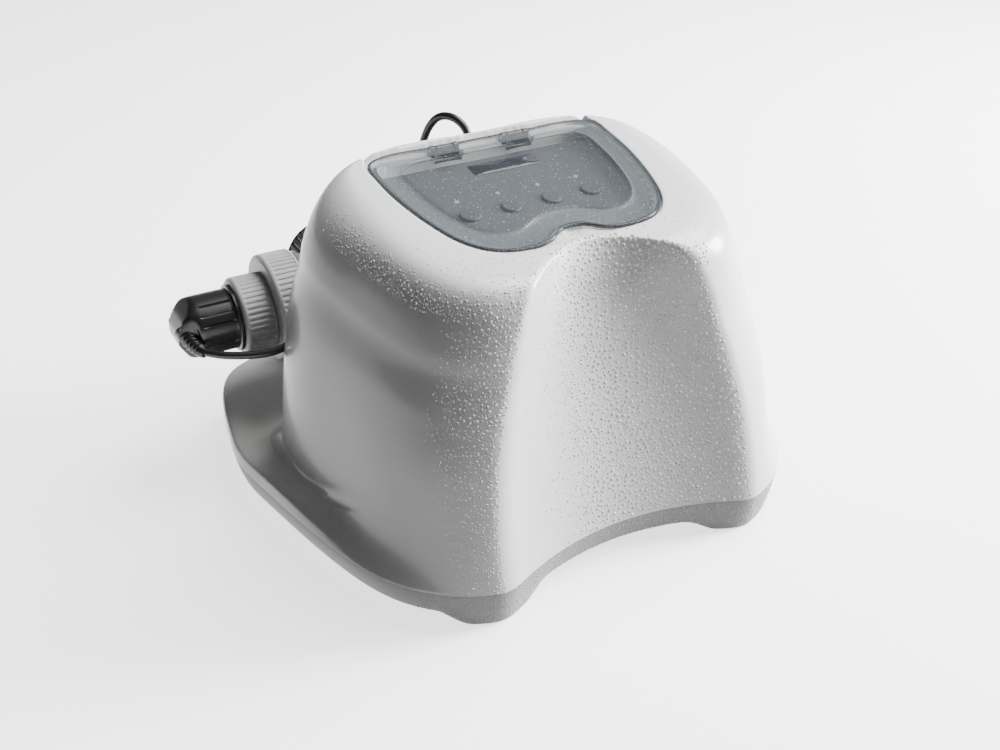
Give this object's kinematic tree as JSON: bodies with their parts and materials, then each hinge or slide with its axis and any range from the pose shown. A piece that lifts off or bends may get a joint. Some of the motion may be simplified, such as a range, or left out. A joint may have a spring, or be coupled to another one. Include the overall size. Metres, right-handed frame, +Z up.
{
  "type": "salt chlorine generator",
  "caption": "Pool salt chlorine generator: white hollow-fronted cover on a grey tray, smoky flip lid over buttons, electrolytic cell tube with hose ports behind.",
  "frame": {"origin": "on the ground under the middle of the base, at the bottom centre of the box without the cell cord, its boot and plug", "axes": "+Z up, front panel faces -Y, cell plug at -X"},
  "size_m": [0.4344, 0.3581, 0.256],
  "materials": {
    "base_grey": "moulded, satin",
    "cover_white": "glossy moulded ABS",
    "panel_grey": "satin",
    "clear_lens": "clear tinted",
    "black_plastic": "satin black",
    "light_pipe": "clear diffusing",
    "circuit_board": "solder mask",
    "steel": "zinc plated",
    "seal_rubber": "matt",
    "winding": "enamelled copper",
    "aluminium": "extruded",
    "capacitor_sleeve": "shrink sleeve",
    "terminal_green": "moulded",
    "housing_grey": "moulded, satin",
    "nut_grey": "moulded, satin",
    "nut_dark": "moulded, satin",
    "titanium": "coated titanium",
    "cord_black": "satin rubber",
    "lid_smoke": "smoky clear acrylic",
    "button_grey": "silicone, satin"
  },
  "bodies": {
    "root": {"base_tray": "base_grey", "cover_shell": "cover_white", "control_fascia": "panel_grey", "display_window": "clear_lens", "led_display": "black_plastic", "indicator_lights": "light_pipe", "control_board": "circuit_board", "button_switches": "black_plastic", "control_board_screws": "steel", "pocket_seal": "seal_rubber", "hinge_brackets": "black_plastic", "hinge_pins": "steel", "power_board": "circuit_board", "transformer": "winding", "transformer_bolt": "steel", "heat_sink": "aluminium", "capacitors": "capacitor_sleeve", "power_relay": "black_plastic", "terminal_block": "terminal_green", "power_board_screws": "steel", "base_screws": "steel", "cell_housing": "housing_grey", "cell_head": "nut_grey", "cell_o_ring": "seal_rubber", "cell_plates": "titanium", "plate_combs": "nut_grey", "cell_terminals": "titanium", "port_seals": "seal_rubber", "housing_saddles": "housing_grey", "housing_straps": "housing_grey", "saddle_screws": "steel", "flow_sensor": "black_plastic", "paddle_pin": "steel", "cell_cord": "cord_black", "cell_plug": "cord_black", "plug_boot": "cord_black", "cord_gland": "black_plastic", "cord_gland_nut": "black_plastic", "mains_gland": "black_plastic"},
    "lid": {"lid": "lid_smoke", "hinge_leaves": "black_plastic"},
    "power_button": {"power_button": "button_grey"},
    "timer_button": {"timer_button": "button_grey"},
    "boost_button": {"boost_button": "button_grey"},
    "clean_button": {"clean_button": "button_grey"},
    "cell_ring_nut": {"cell_ring_nut": "nut_grey"},
    "plug_collar": {"plug_collar": "nut_grey"},
    "hose_nut_left": {"hose_nut_left": "nut_dark"},
    "hose_nut_right": {"hose_nut_right": "nut_dark"},
    "flow_sensor_nut": {"flow_sensor_nut": "nut_grey"},
    "flow_paddle": {"flow_paddle": "nut_grey"}
  },
  "joints": [
    {"name": "lid_hinge", "type": "hinge", "parent": "root", "child": "lid", "pos_m": [0, 0.04448, 0.24453], "axis": [-1, 0, 0], "range_deg": [0, 100]},
    {"name": "power_button_press", "type": "slide", "parent": "root", "child": "power_button", "axis": [0, 0.1514, -0.9885], "range_m": [0, 0.0012], "stiffness_N_per_m": 500},
    {"name": "timer_button_press", "type": "slide", "parent": "root", "child": "timer_button", "axis": [0, 0.1514, -0.9885], "range_m": [0, 0.0012], "stiffness_N_per_m": 500},
    {"name": "boost_button_press", "type": "slide", "parent": "root", "child": "boost_button", "axis": [0, 0.1514, -0.9885], "range_m": [0, 0.0012], "stiffness_N_per_m": 500},
    {"name": "clean_button_press", "type": "slide", "parent": "root", "child": "clean_button", "axis": [0, 0.1514, -0.9885], "range_m": [0, 0.0012], "stiffness_N_per_m": 500},
    {"name": "cell_ring_nut_turn", "type": "hinge", "parent": "root", "child": "cell_ring_nut", "pos_m": [-0.142, 0.107, 0.1172], "axis": [1, 0, 0], "continuous": true},
    {"name": "plug_collar_turn", "type": "hinge", "parent": "root", "child": "plug_collar", "pos_m": [-0.168, 0.107, 0.1172], "axis": [1, 0, 0], "continuous": true},
    {"name": "hose_nut_left_turn", "type": "hinge", "parent": "root", "child": "hose_nut_left", "pos_m": [-0.08, 0.16, 0.1172], "axis": [0, 1, 0], "continuous": true},
    {"name": "hose_nut_right_turn", "type": "hinge", "parent": "root", "child": "hose_nut_right", "pos_m": [0.08, 0.16, 0.1172], "axis": [0, 1, 0], "continuous": true},
    {"name": "flow_sensor_nut_turn", "type": "hinge", "parent": "root", "child": "flow_sensor_nut", "pos_m": [0.129, 0.107, 0.1172], "axis": [1, 0, 0], "continuous": true},
    {"name": "flow_paddle_swing", "type": "hinge", "parent": "root", "child": "flow_paddle", "pos_m": [0.099, 0.107, 0.1257], "axis": [0, 1, 0], "range_deg": [-5, 40]}
  ]
}
